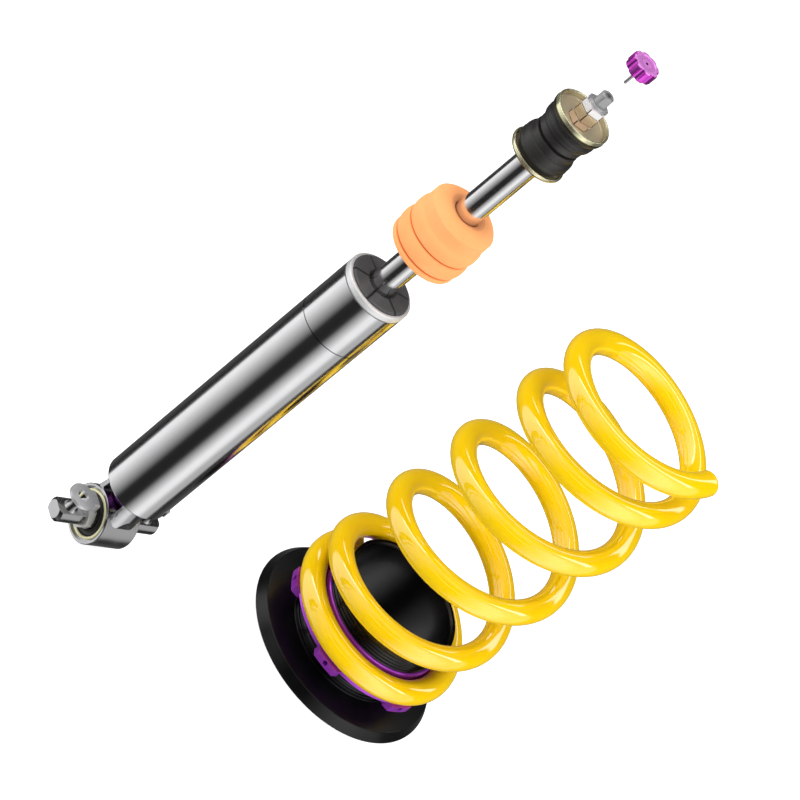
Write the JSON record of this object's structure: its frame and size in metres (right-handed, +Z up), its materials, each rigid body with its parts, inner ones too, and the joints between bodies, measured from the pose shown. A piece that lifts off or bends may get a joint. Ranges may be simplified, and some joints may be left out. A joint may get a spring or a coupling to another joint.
{
  "type": "coilover",
  "caption": "Twin-tube damper with cross-pin eye, bushed stud mount, bump stop and adjusters, beside its coil spring on a height-adjustable perch.",
  "frame": {"origin": "centre of the cross pin in the lower eye, midway between its two bolt holes", "axes": "+Z up along the rod, +X along the cross pin towards the end without the keeper, +Y completes the right-handed set"},
  "size_m": [0.3655, 0.1857, 0.5973],
  "materials": {
    "polished_steel": "polished",
    "satin_steel": "satin",
    "brushed_ring": "brushed",
    "hard_chrome": "polished",
    "yellow_zinc": "satin zinc",
    "bright_zinc": "bright zinc",
    "black_rubber": "matt",
    "black_cap": "matt",
    "bump_foam": "matt skin",
    "yellow_coat": "gloss",
    "black_anodised": "gloss anodised",
    "purple_anodised": "gloss anodised",
    "knob_anodised": "gloss anodised",
    "bearing_plastic": "matt"
  },
  "bodies": {
    "pin_and_perch": {"cross_pin": "satin_steel", "bolt_keeper": "satin_steel", "bush_core": "satin_steel", "perch_sleeve": "black_anodised"},
    "damper": {"eye_yoke": "satin_steel", "bush_sleeve": "yellow_zinc", "bush_rubber": "black_rubber", "bottom_cap": "satin_steel", "outer_tube": "polished_steel", "gas_plug": "satin_steel", "closing_ring": "brushed_ring", "top_cap": "black_cap", "pressure_tube": "satin_steel", "foot_valve": "satin_steel", "foot_shims": "satin_steel", "rod_guide": "satin_steel", "guide_bush": "bearing_plastic", "rod_seal": "black_rubber", "rod_wiper": "black_rubber"},
    "compression_adjuster": {"compression_wheel": "purple_anodised", "compression_stem": "satin_steel"},
    "rod": {"piston_rod": "hard_chrome", "piston": "satin_steel", "piston_band": "bearing_plastic", "compression_shims": "satin_steel", "rebound_shims": "satin_steel", "piston_nut": "satin_steel", "rebound_stop": "satin_steel", "lower_washer": "yellow_zinc", "lower_bush": "black_rubber", "spacer_tube": "satin_steel", "upper_bush": "black_rubber", "upper_washer": "yellow_zinc", "thin_nut": "yellow_zinc", "clamp_nut": "yellow_zinc", "lock_nut": "bright_zinc", "nut_collar": "bright_zinc"},
    "bump": {"bump_stop": "bump_foam"},
    "rebound_adjuster": {"rebound_spindle": "satin_steel"},
    "knob": {"adjuster_knob": "knob_anodised", "knob_key": "satin_steel"},
    "spring": {"coil_spring": "yellow_coat"},
    "ring": {"adjuster_ring": "purple_anodised"}
  },
  "joints": [
    {"name": "eye_pivot", "type": "hinge", "parent": "pin_and_perch", "child": "damper", "pos_m": [0, 0, 0], "axis": [1, 0, 0], "range_deg": [-10, 10], "stiffness_Nm_per_rad": 80},
    {"name": "rod_slide", "type": "slide", "parent": "damper", "child": "rod", "axis": [0, 0, 1], "range_m": [-0.106, 0], "stiffness_N_per_m": 200, "springref_m": 0.5},
    {"name": "bump_slide", "type": "slide", "parent": "rod", "child": "bump", "axis": [0, 0, 1], "range_m": [0, 0.0653]},
    {"name": "rebound_turn", "type": "hinge", "parent": "rod", "child": "rebound_adjuster", "pos_m": [0, 0, 0.53], "axis": [0, 0, 1], "range_deg": [-360, 360]},
    {"name": "knob_seat", "type": "slide", "parent": "rebound_adjuster", "child": "knob", "axis": [0, 0, 1], "range_m": [-0.025, 0]},
    {"name": "compression_turn", "type": "hinge", "parent": "damper", "child": "compression_adjuster", "pos_m": [0, 0, 0.03], "axis": [0, 0, 1], "range_deg": [-180, 180]},
    {"name": "ring_height", "type": "slide", "parent": "pin_and_perch", "child": "spring", "axis": [0, 0, 1], "range_m": [-0.012, 0.024]},
    {"name": "ring_turn", "type": "hinge", "parent": "spring", "child": "ring", "pos_m": [0.2327, -0.0716, 0.008], "axis": [0, 0, 1], "range_deg": [-1440, 2880]}
  ],
  "couplings": [
    {"joint": "bump_slide", "follows": "rod_slide", "ratio": -0.616},
    {"joint": "ring_height", "follows": "ring_turn", "m_per_rad": 0.00047746}
  ]
}
